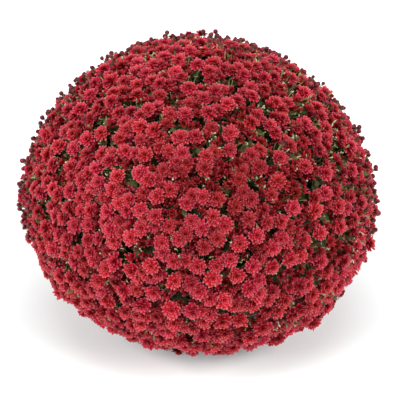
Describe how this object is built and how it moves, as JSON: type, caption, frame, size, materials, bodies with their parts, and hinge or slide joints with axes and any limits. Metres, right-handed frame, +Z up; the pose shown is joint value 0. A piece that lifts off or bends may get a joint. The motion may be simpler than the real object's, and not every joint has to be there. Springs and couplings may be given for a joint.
{
  "type": "potted chrysanthemum",
  "caption": "Ball-shaped garden chrysanthemum in a plain nursery pot, its dome covered all over by small double red blooms with toothed leaves between them.",
  "frame": {"origin": "floor level under the middle of the pot and of the dome", "axes": "+Z up, -Y the side the picture shows, +X to its right"},
  "size_m": [0.5994, 0.5948, 0.511],
  "materials": {
    "bloom": "soft satin petals, crimson red, paler pink at the tips, dark red hearts",
    "bud": "closed buds, dark maroon, satin",
    "leaf": "matte dark green, paler veins and undersides",
    "green_stem": "satin yellow-green, browner towards the crown",
    "woody_stem": "rough, brown, ridged bark",
    "potting_mix": "crumbly, matte, dark brown",
    "pot_plastic": "moulded plastic, matte charcoal"
  },
  "bodies": {
    "root": {"pot": "pot_plastic", "potting_mix": "potting_mix", "crown": "woody_stem", "branch_01": "green_stem", "branch_02": "green_stem", "branch_03": "green_stem", "branch_04": "green_stem", "branch_05": "green_stem", "branch_06": "green_stem", "branch_07": "green_stem", "branch_08": "green_stem", "branch_09": "green_stem", "inner_leaves_01": "leaf", "inner_leaves_02": "leaf", "inner_leaves_03": "leaf", "inner_leaves_04": "leaf", "inner_leaves_05": "leaf", "inner_leaves_06": "leaf", "inner_leaves_07": "leaf", "inner_leaves_08": "leaf", "spray_01": "bloom", "spray_02": "bloom", "spray_03": "bloom", "spray_04": "bloom", "spray_05": "bloom", "spray_06": "bloom", "spray_07": "bloom", "spray_08": "bloom", "spray_09": "bloom", "spray_10": "bloom", "spray_11": "bloom", "spray_12": "bloom", "spray_13": "bloom", "spray_14": "bloom", "spray_15": "bloom", "spray_16": "bloom", "spray_17": "bloom", "spray_18": "bloom", "spray_19": "bloom", "spray_20": "bloom", "spray_21": "bloom", "spray_22": "bloom", "spray_23": "bloom", "spray_24": "bloom", "spray_25": "bloom", "spray_26": "bloom", "spray_27": "bloom", "spray_28": "bloom", "spray_29": "bloom", "spray_30": "bloom", "spray_31": "bloom", "spray_32": "bloom", "spray_33": "bloom", "spray_34": "bloom", "spray_35": "bloom", "spray_36": "bloom"}
  },
  "joints": []
}
